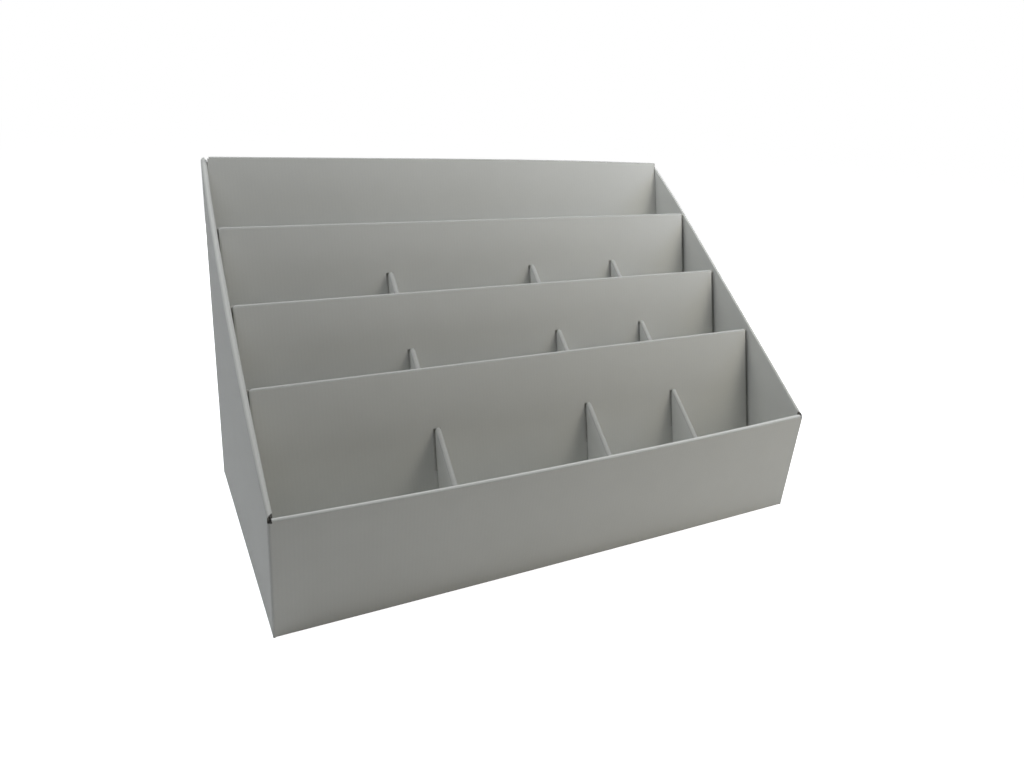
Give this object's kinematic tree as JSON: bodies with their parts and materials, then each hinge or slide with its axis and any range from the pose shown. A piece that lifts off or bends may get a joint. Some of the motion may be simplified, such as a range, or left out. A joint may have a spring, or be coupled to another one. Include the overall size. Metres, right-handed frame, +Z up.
{
  "type": "cardboard display stand",
  "caption": "Plain folded card counter display stand with a low front, sloping double-walled sides and leaning stepped rows of pockets split by short dividers.",
  "frame": {"origin": "middle of the space the stand takes up, on the surface it rests on", "axes": "+X along the front to the right, -Y the way the pockets face, +Z up"},
  "size_m": [0.534, 0.292, 0.331],
  "materials": {
    "tray_card": "matt",
    "step_card": "matt",
    "divider_card": "matt"
  },
  "bodies": {
    "root": {"tray": "tray_card", "step_insert": "step_card", "front_divider_left": "divider_card", "front_divider_centre": "divider_card", "front_divider_right": "divider_card", "second_divider_left": "divider_card", "second_divider_centre": "divider_card", "second_divider_right": "divider_card", "third_divider_left": "divider_card", "third_divider_centre": "divider_card", "third_divider_right": "divider_card"}
  },
  "joints": []
}
